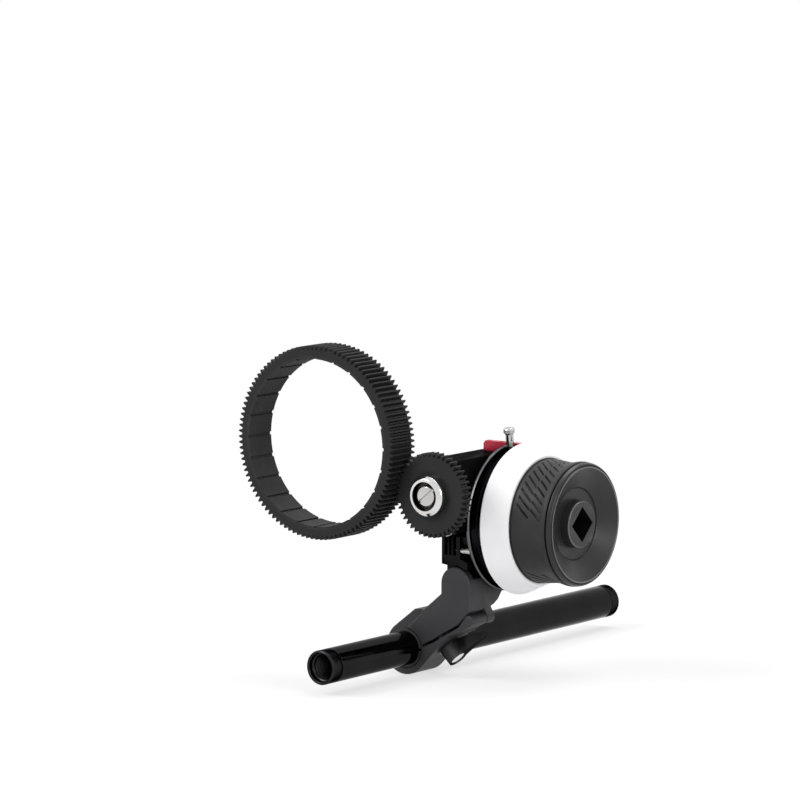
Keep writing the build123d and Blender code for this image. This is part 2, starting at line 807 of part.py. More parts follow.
with BuildPart() as knob_grip:
    revolve(
        section(
            knob_section,
            [
                (grip_start, nose_r),
                (grip_start, grip_r - 0.4),
                (grip_start + 0.4, grip_r),
                (58.7, grip_r - 0.1),
                (61.5, grip_r - 0.5),
                (65.0, grip_r - 0.7),
                (67.2, grip_r - 0.5),
                (69.4, grip_r),
                (70.7, lip_r),
                (grip_end - 0.3, lip_r),
                (grip_end, lip_r - 0.4),
                (grip_end, nose_r),
            ],
        ),
        axis=knob_axis,
    )
save(knob_grip.part, "knob_grip")

dish_rim_r = 24.5
dish_foot_r = 15.8
floor_x = 68.9

with BuildPart() as knob_front:
    revolve(
        section(
            knob_section,
            [
                (nose_end, 10.35),
                (nose_end, nose_r),
                (grip_end + 0.1, nose_r),
                (grip_end + 0.1, lip_r - 1.5),
                (grip_end + 0.6, lip_r - 1.5),
                (grip_end + 0.7, lip_r - 0.4),
                (grip_end + 1.0, lip_r - 0.2),
                (73.7, 26.7),
                (74.5, 26.2),
                (74.9, 25.7),
                (knob_front_x, 25.2),
                (knob_front_x, dish_rim_r + 0.2),
                (knob_front_x - 0.3, dish_rim_r),
                (69.9, dish_foot_r),
                (floor_x + 0.4, dish_foot_r),
                (floor_x, 15.2),
                (floor_x, 10.35),
            ],
        ),
        axis=knob_axis,
    )
    with BuildSketch(across(nose_end)):
        with PolarLocations(knob_screw_r, 4, start_angle=45):
            Circle(1.5)
    extrude(amount=3.2, mode=Mode.SUBTRACT)
save(knob_front.part, "knob_front")

with BuildPart() as socket_insert:
    revolve(
        section(
            knob_section,
            [
                (60, 0),
                (60, 12.5),
                (nose_end - 0.05, 12.5),
                (nose_end - 0.05, 10.3),
                (boss_face - 0.5, 10.3),
                (boss_face, 9.8),
                (boss_face, 0),
            ],
        ),
        axis=knob_axis,
    )
    with BuildSketch(across(boss_face)):
        Rectangle(socket_side, socket_side, rotation=45)
    extrude(amount=-(boss_face - 62.5), mode=Mode.SUBTRACT)
save(socket_insert.part, "socket_insert")

with BuildPart() as marking_disc:
    revolve(
        section(
            knob_section,
            [
                (disc_start, disc_bore_r + 0.3),
                (disc_start, 33.0),
                (disc_start + 0.5, 33.3),
                (disc_end - 0.3, 28.3),
                (disc_end, 28.0),
                (disc_end, disc_bore_r),
                (disc_start + 0.3, disc_bore_r),
            ],
        ),
        axis=knob_axis,
    )
save(marking_disc.part, "marking_disc")


def stop_ring(start, end, pin_x, pin_angle, thread_r):
    """Turned ring with a radial hole for its stop pin."""
    bore = hub_ring_r + run_fit
    points = [
        (start, bore),
        (start, stop_ring_r - 0.3),
        (start + 0.3, stop_ring_r),
        (end - 0.3, stop_ring_r),
        (end, stop_ring_r - 0.3),
        (end, bore),
    ]
    revolve(section(knob_section, points), axis=knob_axis)
    hole = disc(radial_plane(pin_x, pin_angle, 27.0), thread_r)
    extrude(hole, amount=6, mode=Mode.SUBTRACT)


def stop_pin(pin_x, pin_angle, thread_r, shank_r, cap_r, cap_start, cap_end):
    """Thumb screw that stands out of a stop ring."""
    extrude(disc(radial_plane(pin_x, pin_angle, 27.0), thread_r), amount=4.6)
    extrude(disc(radial_plane(pin_x, pin_angle, 31.4), shank_r), amount=cap_start - 31.4)
    extrude(disc(radial_plane(pin_x, pin_angle, cap_start), cap_r), amount=cap_end - cap_start)


pin_a_x = 38.1
pin_b_x = 41.0

with BuildPart() as stop_ring_a:
    stop_ring(ring_a_x, ring_b_x - 0.1, pin_a_x, pin_a_angle, 1.1)
save(stop_ring_a.part, "stop_ring_a")

with BuildPart() as stop_pin_a:
    stop_pin(pin_a_x, pin_a_angle, 1.1, 1.8, 2.5, 37.8, 40.2)
save(stop_pin_a.part, "stop_pin_a")

with BuildPart() as stop_ring_b:
    stop_ring(ring_b_x, rings_end, pin_b_x, pin_b_angle, 0.8)
save(stop_ring_b.part, "stop_ring_b")

with BuildPart() as stop_pin_b:
    stop_pin(pin_b_x, pin_b_angle, 0.8, 1.25, 1.9, 35.2, 37.2)
save(stop_pin_b.part, "stop_pin_b")

# ================================================================ gear train
spur_back = -5.6
spur_len = 4.0
tooth_play = 0.08
lay_teeth = 16
idler_teeth = 12

with BuildPart() as layshaft:
    extrude(disc(upright(knob_y - bevel_inner, shaft_x, knob_z), drive_shaft_r - 0.03), amount=33.0)
save(layshaft.part, "layshaft")

with BuildPart() as lay_bevel_gear:
    # the teeth run to the knob's axis, with a gap where the other gear has a tooth
    half_pitch = 180 / bevel_teeth
    loft(
        [
            bevel_face(upright(knob_y - bevel_heel, shaft_x, knob_z), 1.0, half_pitch),
            bevel_face(upright(knob_y - bevel_inner, shaft_x, knob_z), bevel_toe, half_pitch),
        ],
        ruled=True,
    )
    hub_length = knob_y - bevel_heel - bevel_room_start - 0.3
    extrude(disc(upright(knob_y - bevel_heel, shaft_x, knob_z), 3.7), amount=hub_length)
    bore = disc(upright(knob_y, shaft_x, knob_z), drive_shaft_r - 0.03)
    extrude(bore, amount=12, mode=Mode.SUBTRACT)
save(lay_bevel_gear.part, "lay_bevel_gear")

with BuildPart() as lay_spur_gear:
    teeth = gear_face(
        upright(spur_back, shaft_x, knob_z), small_module, lay_teeth, 90, tooth_play, 0.84
    )
    extrude(teeth, amount=spur_len)
    extrude(disc(upright(spur_back, shaft_x, knob_z), 2.47), amount=9, mode=Mode.SUBTRACT)
save(lay_spur_gear.part, "lay_spur_gear")

with BuildPart() as idler_gear:
    first_tooth = -90 + 180 / idler_teeth
    teeth = gear_face(
        upright(spur_back, shaft_x, idler_z), small_module, idler_teeth, first_tooth, tooth_play, 0.84
    )
    extrude(teeth, amount=spur_len)
    extrude(disc(upright(spur_back, shaft_x, idler_z), 1.54), amount=9, mode=Mode.SUBTRACT)
save(idler_gear.part, "idler_gear")

gear_seat = gear_back - 0.6  # end of the collar's spigot inside the gear
shaft_front = gear_seat - 0.4

with BuildPart() as drive_shaft:
    extrude(disc(upright(12.0, shaft_x, drive_z), drive_shaft_r - 0.03), amount=12.0 - shaft_front)
    extrude(disc(upright(-13.5, shaft_x, drive_z), 1.5), amount=10, mode=Mode.SUBTRACT)
save(drive_shaft.part, "drive_shaft")

with BuildPart() as drive_pinion:
    first_tooth = -90
    teeth = gear_face(
        upright(spur_back, shaft_x, drive_z), small_module, lay_teeth, first_tooth, tooth_play, 0.84
    )
    extrude(teeth, amount=spur_len)
    extrude(disc(upright(spur_back, shaft_x, drive_z), 2.47), amount=9, mode=Mode.SUBTRACT)
save(drive_pinion.part, "drive_pinion")

# chrome collar in the gear, and where the lens ring stands to mesh with it
collar_front = gear_front - 4.5
collar_floor = gear_front - 1.4
collar_r = 8.7
spigot_r = 5.0

centre_distance = lens_module * (drive_teeth + ring_teeth) / 2 + mesh_play
ring_rise = ring_z - drive_z
ring_x = shaft_x - sqrt(centre_distance**2 - ring_rise**2)
mesh_angle = degrees(atan2(ring_rise, ring_x - shaft_x))

with BuildPart() as drive_gear:
    teeth = gear_face(
        upright(gear_back, shaft_x, drive_z), lens_module, drive_teeth, mesh_angle, 0.1
    )
    extrude(teeth, amount=gear_back - gear_front)
    extrude(disc(upright(gear_back, shaft_x, drive_z), spigot_r), amount=9, mode=Mode.SUBTRACT)
save(drive_gear.part, "drive_gear")

with BuildPart() as gear_collar:
    extrude(disc(upright(gear_seat, shaft_x, drive_z), spigot_r), amount=gear_seat - gear_front)
    extrude(disc(upright(gear_front, shaft_x, drive_z), collar_r), amount=gear_front - collar_front)
    chamfer(gear_collar.faces().sort_by(Axis.Y)[0].edges(), length=1.3)
    extrude(disc(upright(collar_floor, shaft_x, drive_z), 6.2), amount=5, mode=Mode.SUBTRACT)
    extrude(disc(upright(gear_seat, shaft_x, drive_z), 1.5), amount=9, mode=Mode.SUBTRACT)
    # the spigot is bored for the end of the shaft
    end_bore = disc(upright(gear_seat, shaft_x, drive_z), drive_shaft_r - 0.03)
    extrude(end_bore, amount=gear_seat - shaft_front, mode=Mode.SUBTRACT)
save(gear_collar.part, "gear_collar")

with BuildPart() as gear_screw:
    extrude(disc(upright(collar_floor, shaft_x, drive_z), 4.6), amount=2.2)
    chamfer(gear_screw.faces().sort_by(Axis.Y)[0].edges(), length=0.5)
    extrude(disc(upright(-14.5, shaft_x, drive_z), 1.5), amount=-14.5 - collar_floor)
    with BuildSketch(upright(collar_floor - 1.2, shaft_x, drive_z)):
        Rectangle(12, 1.2, rotation=40)
    extrude(amount=3, mode=Mode.SUBTRACT)
save(gear_screw.part, "gear_screw")

# ================================================================ lens ring
with BuildPart() as lens_gear_ring:
    teeth = gear_face(
        upright(ring_back, ring_x, ring_z),
        lens_module,
        ring_teeth,
        mesh_angle + 180 + 180 / ring_teeth,
        0.1,
    )
    extrude(teeth, amount=ring_back - ring_front)
    bore = disc(upright(ring_back, ring_x, ring_z), ring_bore_r)
    extrude(bore, amount=20, mode=Mode.SUBTRACT)
save(lens_gear_ring.part, "lens_gear_ring")

with BuildPart() as ring_liner:
    sleeve = disc(upright(ring_back, ring_x, ring_z), ring_bore_r, lens_r)
    extrude(sleeve, amount=ring_back - ring_front)
    with BuildSketch(upright(ring_back, ring_x, ring_z)):
        with PolarLocations(lens_r, 24):
            Rectangle(1.2, 1.4)
    extrude(amount=ring_back - ring_front, mode=Mode.SUBTRACT)
save(ring_liner.part, "ring_liner")
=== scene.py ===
# Looks of the follow focus unit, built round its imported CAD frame.
# The scene is in metres, in the frame of the CAD: +X points to the hand knob, +Y back along
# the rod, +Z up. The sizes and outlines of pieces are written in millimetres.
import json
import bmesh
import bpy
import numpy as np
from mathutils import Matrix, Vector


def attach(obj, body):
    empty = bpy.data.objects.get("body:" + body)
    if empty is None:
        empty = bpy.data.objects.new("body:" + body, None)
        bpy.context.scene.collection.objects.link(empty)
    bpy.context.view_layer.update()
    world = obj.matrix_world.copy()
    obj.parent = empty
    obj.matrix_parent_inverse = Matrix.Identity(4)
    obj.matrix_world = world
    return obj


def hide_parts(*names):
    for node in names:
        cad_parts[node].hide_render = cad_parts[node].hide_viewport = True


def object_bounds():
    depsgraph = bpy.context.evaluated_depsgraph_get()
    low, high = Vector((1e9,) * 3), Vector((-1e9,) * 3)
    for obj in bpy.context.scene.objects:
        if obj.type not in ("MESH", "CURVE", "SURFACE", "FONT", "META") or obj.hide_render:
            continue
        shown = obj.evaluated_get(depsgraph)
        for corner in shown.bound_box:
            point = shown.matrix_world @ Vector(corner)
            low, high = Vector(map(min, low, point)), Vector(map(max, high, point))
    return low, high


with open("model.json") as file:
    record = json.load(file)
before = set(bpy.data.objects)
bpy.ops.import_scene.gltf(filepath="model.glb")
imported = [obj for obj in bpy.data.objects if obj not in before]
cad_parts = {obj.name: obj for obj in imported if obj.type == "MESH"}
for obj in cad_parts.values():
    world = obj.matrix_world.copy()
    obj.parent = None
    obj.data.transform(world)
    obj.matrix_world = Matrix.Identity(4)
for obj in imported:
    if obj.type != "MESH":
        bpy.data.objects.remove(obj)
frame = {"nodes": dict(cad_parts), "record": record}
cad_low, cad_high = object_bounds()
MM = 0.001

# ---------------------------------------------------------------------------- rod
# A 15 mm aluminium tube, hard anodised and polished, so long reflections lie along it.
# It is turned to size, and a threaded fitting is pressed into each end.
ROD_R, TUBE_WALL_R, TUBE_BORE_R = 7.5, 6.9, 6.4  # outside, within the wall, bore
ROD_FRONT, ROD_BACK = -68.5, 147.5
FITTING_COLLAR = 6.5
ROD_LATHE = ((0, 0, 0), (0, 1, 0), (1, 0, 0))
BODY_OF = {
    node: body
    for body, nodes in frame["record"]["behaviour"]["bodies"].items()
    for node in nodes
}


def softened(corners, radius, steps=5):
    """Outline with its inner corners rounded: each corner becomes a quadratic curve that
    leaves and joins its two sides at the given distance, or half of the shorter side. The
    first and last points stay sharp, so a closed outline starts and ends within a side."""
    points = np.asarray(corners, float)
    before, here, after = points[:-2], points[1:-1], points[2:]
    sides = np.stack([before - here, after - here])
    lengths = np.linalg.norm(sides, axis=2)
    reach = np.minimum(np.asarray(radius, float), 0.49 * lengths.min(0))
    leave, join = here + sides * (reach / lengths)[..., None]
    t = np.linspace(0, 1, steps)[None, :, None]
    curve = (1 - t) ** 2 * leave[:, None] + 2 * t * (1 - t) * here[:, None] + t**2 * join[:, None]
    return np.vstack([points[:1], curve.reshape(-1, 2), points[-1:]])


def carried(along, radius, centre, axis, start):
    """Points at radius r round an axis: centre + along * axis
    + r * (cos a * start + sin a * (axis x start)), with one column for each angle a."""
    axis, start = np.asarray(axis, float), np.asarray(start, float)
    turn = np.linspace(0, 2 * np.pi, radius.shape[1], endpoint=False)
    spoke = np.cos(turn)[:, None] * start + np.sin(turn)[:, None] * np.cross(axis, start)
    return np.asarray(centre, float) + along[..., None] * axis + radius[..., None] * spoke[None]


def settle(name, mesh, finish, node):
    """Closes the mesh's seams and poles, turns its faces outwards, and lets the piece stand
    for its CAD node, on that node's body."""
    shell = bmesh.new()
    shell.from_mesh(mesh)
    bmesh.ops.remove_doubles(shell, verts=shell.verts, dist=1e-7)
    bmesh.ops.dissolve_degenerate(shell, edges=shell.edges, dist=1e-8)
    bmesh.ops.recalc_face_normals(shell, faces=shell.faces)
    shell.to_mesh(mesh)
    shell.free()
    piece = bpy.data.objects.new(name, mesh)
    bpy.context.scene.collection.objects.link(piece)
    mesh.materials.clear()
    mesh.materials.append(finish)
    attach(piece, BODY_OF[node])
    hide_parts(node)
    return piece


def skin(name, grid, finish, node, closed_rows=True):
    """Piece made of a grid of points in millimetres. Its columns always close into rings,
    and its rows close into a loop unless the outline starts and ends on the axis."""
    rows, columns = grid.shape[:2]
    index = np.arange(rows * columns).reshape(rows, columns)
    above = index if closed_rows else index[:-1]
    below = np.roll(index, -1, 0) if closed_rows else index[1:]
    faces = np.stack([above, below, np.roll(below, -1, 1), np.roll(above, -1, 1)], -1)
    mesh = bpy.data.meshes.new(name)
    mesh.from_pydata((grid.reshape(-1, 3) * MM).tolist(), [], faces.reshape(-1, 4).tolist())
    mesh.polygons.foreach_set("use_smooth", np.ones(len(mesh.polygons), bool))
    return settle(name, mesh, finish, node)


def turned(name, line, place, finish, node, steps, closed_rows=True):
    """Piece turned on a lathe: an outline of (along, radius) carried round its axis."""
    ring = np.ones(steps)
    grid = carried(line[:, :1] * ring, line[:, 1:] * ring, *place)
    return skin(name, grid, finish, node, closed_rows)


def feed(tree, sockets, values):
    """Links each socket to the socket given for it, or sets it to the value given."""
    for socket_in, value in zip(sockets, values):
        if isinstance(value, bpy.types.NodeSocket):
            tree.links.new(value, socket_in)
        else:
            socket_in.default_value = value


def step(tree, kind, *values, **settings):
    """New node of a kind, with its settings and with its first inputs fed in order."""
    node = tree.nodes.new(kind)
    for setting, value in settings.items():
        setattr(node, setting, value)
    feed(tree, node.inputs, values)
    return node


def principled(finish):
    """The finish's shader."""
    return finish.node_tree.nodes["Principled BSDF"]


def coordinates(finish):
    """The object coordinates that the finish's patterns read."""
    return next(n for n in finish.node_tree.nodes if n.type == "TEX_COORD").outputs["Object"]


def noise(finish, scale, detail=2.0):
    """Noise with grains of about one metre over its scale."""
    grain = step(finish.node_tree, "ShaderNodeTexNoise", coordinates(finish))
    feed(finish.node_tree, (grain.inputs["Scale"], grain.inputs["Detail"]), (scale, detail))
    return grain.outputs["Fac"]


def spread(finish, value, low, high, start=0.3, end=0.7):
    """Stretches a value that runs from start to end to the range from low to high."""
    ramp = step(finish.node_tree, "ShaderNodeMapRange", value, start, end, low, high)
    return ramp.outputs["Result"]


def coloured(finish, share, first, second):
    """Makes the shader's colour go from the first to the second as the share goes from 0
    to 1. Either may be a plain colour or another node's colour."""
    mix = step(finish.node_tree, "ShaderNodeMix", share, data_type="RGBA")
    feed(finish.node_tree, [s for s in mix.inputs if s.type == "RGBA"], (first, second))
    out = next(s for s in mix.outputs if s.type == "RGBA")
    finish.node_tree.links.new(out, principled(finish).inputs["Base Color"])


def relief(finish, height, depth, under=None):
    """Bump of the given depth in metres, over another bump if one is given."""
    bump = finish.node_tree.nodes.new("ShaderNodeBump")
    bump.inputs["Strength"].default_value = 1.0
    bump.inputs["Distance"].default_value = depth
    finish.node_tree.links.new(height, bump.inputs["Height"])
    if under:
        finish.node_tree.links.new(under.outputs["Normal"], bump.inputs["Normal"])
    finish.node_tree.links.new(bump.outputs["Normal"], principled(finish).inputs["Normal"])


CLOUD_SCALE, HANDLED_SCALE = 45, 130
HANDLED_ROUGH = 0.05  # how far handling moves the roughness, up and down


def grained(
    name, dark, light, rough, metallic=0.0, grain=3500, depth=1.5e-5, specular=0.5, edge=1.0
):
    """Plain finish: cloudy between two near colours, with a fine grain in the surface and
    a roughness that varies a little with handling. The edge value tints what it mirrors at
    a low angle, so that black anodising stays black there."""
    finish = bpy.data.materials.new(name)
    finish.use_nodes = True
    finish.node_tree.nodes.new("ShaderNodeTexCoord")
    shader = principled(finish).inputs
    shader["Metallic"].default_value = metallic
    shader["Specular IOR Level"].default_value = specular
    shader["Specular Tint"].default_value = (edge, edge, edge, 1)
    clouds = spread(finish, noise(finish, CLOUD_SCALE, 4), 0, 1)
    coloured(finish, clouds, (*dark, 1), (*light, 1))
    touched = noise(finish, HANDLED_SCALE, 3)
    handled = spread(finish, touched, rough - HANDLED_ROUGH, rough + HANDLED_ROUGH)
    finish.node_tree.links.new(handled, shader["Roughness"])
    relief(finish, noise(finish, grain), depth)
    return finish


def ring_painted(finish, colour, centre, along, radius, half, soft=0.1):
    """Lays another colour over the finish in a ring round an axis along X, Y or Z, with its
    sizes in millimetres. At a distance d from the axis the colour is full where
    |d - radius| is up to half, and gone where it is over half + soft."""
    tree = finish.node_tree
    across = [0.0 if axis == along else 1.0 for axis in "XYZ"]
    place = coordinates(finish)
    for operation, vector in (("SUBTRACT", np.array(centre) * MM), ("MULTIPLY", across)):
        place = step(tree, "ShaderNodeVectorMath", place, vector, operation=operation).outputs[0]
    value = step(tree, "ShaderNodeVectorMath", place, operation="LENGTH").outputs["Value"]
    for operation, number in (("SUBTRACT", radius * MM), ("ABSOLUTE", 0.0)):
        value = step(tree, "ShaderNodeMath", value, number, operation=operation).outputs[0]
    mask = spread(finish, value, 1.0, 0.0, half * MM, (half + soft) * MM)
    under = principled(finish).inputs["Base Color"].links[0].from_socket
    coloured(finish, mask, under, (*colour, 1))


rod_black = grained(
    "rod_polished_black", (0.016, 0.016, 0.017), (0.021, 0.021, 0.022),
    rough=0.12, metallic=1.0, grain=900, depth=2e-6, edge=0.6,
)
tube_front, tube_back = ROD_FRONT + FITTING_COLLAR, ROD_BACK - FITTING_COLLAR
tube_line = softened(
    [
        (tube_front, TUBE_WALL_R),
        (tube_front, ROD_R),
        (tube_back, ROD_R),
        (tube_back, TUBE_BORE_R),
        (tube_front, TUBE_BORE_R),
        (tube_front, TUBE_WALL_R),
    ],
    0.12,
)
turned("rod", tube_line[:-1], ROD_LATHE, rod_black, "rod_tube", steps=160)

# The fittings are turned from aluminium and anodised a little lighter than the tube. Each
# has a chamfered mouth and an M12 thread, cut here as a real helix.
fitting_black = grained(
    "fitting_satin_black", (0.020, 0.020, 0.021), (0.028, 0.028, 0.030),
    rough=0.3, metallic=1.0, grain=2500, depth=4e-6, edge=0.3,
)
THREAD_ROOT, THREAD_CREST, THREAD_PITCH = 5.95, 5.12, 1.75
THREAD_START, THREAD_END = 2.9, 18.4
THREAD_LEAD, THREAD_RUNOUT = 1.0, 0.8  # lengths in which it grows to full depth at its ends
THREAD_ROWS, THREAD_COLUMNS = 170, 96
thread_turn = np.linspace(0, 2 * np.pi, THREAD_COLUMNS, endpoint=False)[None]
thread_depth = np.linspace(THREAD_END, THREAD_START, THREAD_ROWS)[:, None]


def fitting_grid(end, inward):
    """Collar, groove, spigot and thread in one loop. In the thread, at depth d and angle a, the
    radius swings between crest and root as a triangle wave of d / pitch - a / turn."""
    shell = softened(
        [
            (THREAD_START, THREAD_CREST),
            (2.5, 6.1),
            (0.5, 6.1),
            (0.0, 6.55),
            (0.0, 6.85),
            (0.6, ROD_R),
            (FITTING_COLLAR - 1.0, ROD_R),
            (FITTING_COLLAR - 1.0, 7.1),
            (FITTING_COLLAR, 7.1),
            (FITTING_COLLAR, TUBE_BORE_R),
            (THREAD_END, TUBE_BORE_R),
            (THREAD_END, THREAD_CREST),
        ],
        0.14,
    )
    phase = thread_depth / THREAD_PITCH - inward * thread_turn / (2 * np.pi)
    wave = np.abs((phase % 1) * 2 - 1)
    lead = np.clip((thread_depth - THREAD_START) / THREAD_LEAD, 0, 1)
    runout = np.clip((THREAD_END - thread_depth) / THREAD_RUNOUT, 0, 1)
    cut = THREAD_CREST + (THREAD_ROOT - THREAD_CREST) * wave * (lead * runout)
    ring = np.ones_like(thread_turn)
    along = np.vstack([shell[:, :1] * ring, thread_depth[1:-1] * ring])
    radius = np.vstack([shell[:, 1:] * ring, cut[1:-1]])
    return carried(end + inward * along, radius, *ROD_LATHE)


skin("rod_end_front", fitting_grid(ROD_FRONT, 1), fitting_black, "rod_end_fittings")
skin("rod_end_back", fitting_grid(ROD_BACK, -1), fitting_black, "rod_end_fittings")

# ---------------------------------------------------------------------------- clamp
# Arm and jaw are milled from aluminium, bead blasted and anodised dark grey, with small
# chamfers on their edges. A thin nylon sleeve lines the seat of the rod.
EASED_ANGLE = 0.5  # radians, above which an edge is rounded


def eased(name, node, finish, width, segments=2):
    """The CAD solid's own shape with its edges rounded to a width in millimetres: its
    faces are joined, and each edge sharper than the angle above gets a small bevel."""
    mesh = frame["nodes"][node].data.copy()
    mesh.name = name
    shell = bmesh.new()
    shell.from_mesh(mesh)
    bmesh.ops.remove_doubles(shell, verts=shell.verts, dist=1e-6)
    shell.to_mesh(mesh)
    shell.free()
    mesh.polygons.foreach_set("use_smooth", np.ones(len(mesh.polygons), bool))
    mesh.set_sharp_from_angle(angle=EASED_ANGLE)
    piece = settle(name, mesh, finish, node)
    bevel = piece.modifiers.new("edges", "BEVEL")
    bevel.width = width * MM
    bevel.segments = segments
    bevel.limit_method = "ANGLE"
    bevel.angle_limit = EASED_ANGLE
    bevel.harden_normals = True
    return piece


def paint(finish, *nodes):
    """Gives CAD nodes a finish, keeping their shape."""
    for node in nodes:
        mesh = frame["nodes"][node].data
        mesh.materials.clear()
        mesh.materials.append(finish)


blasted = grained(
    "arm_blasted_black", (0.016, 0.016, 0.018), (0.023, 0.023, 0.025),
    rough=0.52, grain=5200, depth=2.2e-5, specular=0.4,
)
eased("arm", "clamp_arm", blasted, 0.35)
eased("jaw", "clamp_jaw", blasted, 0.35)
nylon = grained(
    "liner_black_nylon", (0.014, 0.014, 0.014), (0.02, 0.02, 0.02),
    rough=0.6, grain=1800, depth=1e-5,
)
paint(nylon, "clamp_liner")

# ---------------------------------------------------------------------------- fixings and works
# Pins, shafts, bearings and the clamp's stud are ground steel. Washer and screws are black
# oxide steel, and the gears inside the box are cut from brass.
ground_steel = grained(
    "ground_steel", (0.50, 0.50, 0.51), (0.62, 0.62, 0.63),
    rough=0.28, metallic=1.0, grain=6000, depth=2e-6,
)
paint(
    ground_steel, "jaw_hinge_pin", "clamp_stud", "idler_pin", "knob_shaft", "layshaft",
    "drive_shaft", "knob_bearings", "layshaft_bearings", "drive_shaft_bearings", "shaft_circlip",
    "disc_magnets",
)
black_oxide = grained(
    "screw_black_oxide", (0.018, 0.017, 0.017), (0.032, 0.03, 0.03),
    rough=0.35, metallic=0.8, grain=3000, depth=4e-6,
)
paint(
    black_oxide, "thrust_washer", "arm_bolts", "cover_screws", "flange_screws", "pointer_screws",
    "knob_screws",
)
brass = grained(
    "gear_brass", (0.62, 0.44, 0.16), (0.74, 0.55, 0.22),
    rough=0.3, metallic=1.0, grain=3000, depth=3e-6,
)
paint(brass, "knob_bevel_gear", "lay_bevel_gear", "lay_spur_gear", "idler_gear", "drive_pinion")

# ---------------------------------------------------------------------------- lever
# The clamp's lever is milled in one piece and anodised black. A polished cap, turned with a
# slight crown, is set into the end of its hub.
lever_black = grained(
    "lever_satin_black", (0.044, 0.044, 0.046), (0.060, 0.060, 0.062),
    rough=0.4, metallic=1.0, grain=4200, depth=1.2e-5, edge=0.3,
)
eased("lever", "clamp_lever", lever_black, 0.4, segments=3)
polished = grained(
    "polished_nickel", (0.80, 0.79, 0.77), (0.88, 0.87, 0.86),
    rough=0.1, metallic=1.0, grain=800, depth=1.5e-6,
)
# The clamp's screw points 44 degrees down, and stands off the rod's axis by its offset.
SCREW_ALONG, SCREW_ACROSS = np.array([0.7193, 0, -0.6947]), np.array([0.6947, 0, 0.7193])
SCREW_OFFSET = 13.5
CAP_R, CAP_SEAT, CAP_FACE = 3.55, 18.3, 18.5
cap_line = softened(
    [
        (CAP_SEAT, 0.0),
        (CAP_SEAT, CAP_R),
        (CAP_FACE, CAP_R),
        (CAP_FACE + 0.14, 2.5),
        (CAP_FACE + 0.2, 1.2),
        (CAP_FACE + 0.22, 0.0),
    ],
    [0.05, 0.1, 0.5, 0.5],
    8,
)
CAP_LATHE = (SCREW_OFFSET * SCREW_ACROSS, SCREW_ALONG, (0, 1, 0))
turned("lever_cap_face", cap_line, CAP_LATHE, polished, "lever_cap", steps=96, closed_rows=False)

# ---------------------------------------------------------------------------- gearbox
# Housing and cover are milled aluminium, blasted finer and blacker than the arm. The cover
# and the flange are screwed on. A small nickel plated screw stands between neck and flange.
box_black = grained(
    "box_blasted_black", (0.012, 0.012, 0.013), (0.018, 0.018, 0.019),
    rough=0.45, metallic=1.0, grain=6000, depth=1.6e-5, edge=0.1,
)
eased("housing", "gearbox_housing", box_black, 0.4)
eased("cover", "gearbox_cover", box_black, 0.25)
nickel = grained(
    "brushed_nickel", (0.50, 0.49, 0.48), (0.60, 0.59, 0.58),
    rough=0.16, metallic=1.0, grain=800, depth=1.5e-6,
)
eased("bridge_pin", "bridge_screw", nickel, 0.15)

# The flange plate is turned, and a painted highlight runs round its rim.
KNOB_CENTRE = np.array([0.0, 21.5, 57.5])
FLANGE_R = 32.2
# Colour of a painted highlight, laid round bright rims.
PAINTED_HIGHLIGHT = (0.13, 0.13, 0.135)
flange_black = grained(
    "flange_turned_black", (0.008, 0.008, 0.009), (0.012, 0.012, 0.013),
    rough=0.35, metallic=1.0, grain=2500, depth=4e-6, edge=0.15,
)
ring_painted(flange_black, PAINTED_HIGHLIGHT, KNOB_CENTRE, "X", FLANGE_R, 0.55)
eased("flange", "flange_plate", flange_black, 0.12)

# The pointer is a small milled bar, anodised red, held by two screws.
red = grained(
    "pointer_red", (0.48, 0.010, 0.036), (0.60, 0.016, 0.055),
    rough=0.28, metallic=0.3, grain=3500, depth=6e-6, specular=0.7,
)
eased("pointer", "index_pointer", red, 0.25)

# ---------------------------------------------------------------------------- stop rings
# Two narrow turned rings with a thumb screw each. The screws are nickel plated and have a
# straight knurl round their heads.
ring_black = grained(
    "ring_satin_black", (0.006, 0.006, 0.007), (0.010, 0.010, 0.011),
    rough=0.3, metallic=1.0, grain=3000, depth=6e-6, edge=0.15,
)
eased("ring_a", "stop_ring_a", ring_black, 0.1)
eased("ring_b", "stop_ring_b", ring_black, 0.1)
PIN_FOOT, PIN_SHOULDER = 27.0, 31.4  # from the knob's axis
KNURL_DEPTH, KNURL_FADE = 0.12, 0.3
KNURL_COLUMNS = 8  # round each dip


def thumb_screw(name, node, x, angle, thread_r, shank_r, head_r, head_start, head_end, knurls):
    """Turned pin along a spoke of the knob, at an angle in degrees from +Y towards +Z. Its
    head has a knurl: the radius dips by its depth along cos(knurls * a), fading at the
    head's two edges."""
    out = np.array([0, np.cos(np.radians(angle)), np.sin(np.radians(angle))])
    line = softened(
        [
            (PIN_FOOT, 0.0),
            (PIN_FOOT, thread_r),
            (PIN_SHOULDER, thread_r),
            (PIN_SHOULDER, shank_r),
            (head_start - 0.5, shank_r),
            (head_start, head_r - 0.5),
            (head_start + 0.25, head_r),
            (head_end - 0.55, head_r),
            (head_end, head_r - 0.5),
            (head_end, 0.7),
            (head_end - 0.25, 0.0),
        ],
        0.15,
    )
    turn = np.linspace(0, 2 * np.pi, KNURL_COLUMNS * knurls, endpoint=False)[None]
    along, radius = line[:, :1], line[:, 1:]
    fade_in = np.clip((along - head_start) / KNURL_FADE, 0, 1)
    fade_out = np.clip((head_end - 0.4 - along) / KNURL_FADE, 0, 1)
    dip = KNURL_DEPTH * (fade_in * fade_out) * (0.5 - 0.5 * np.cos(knurls * turn))
    centre = KNOB_CENTRE + [x, 0, 0]
    grid = carried(along * np.ones_like(turn), radius - dip, centre, out, (1, 0, 0))
    skin(name, grid, nickel, node, closed_rows=False)


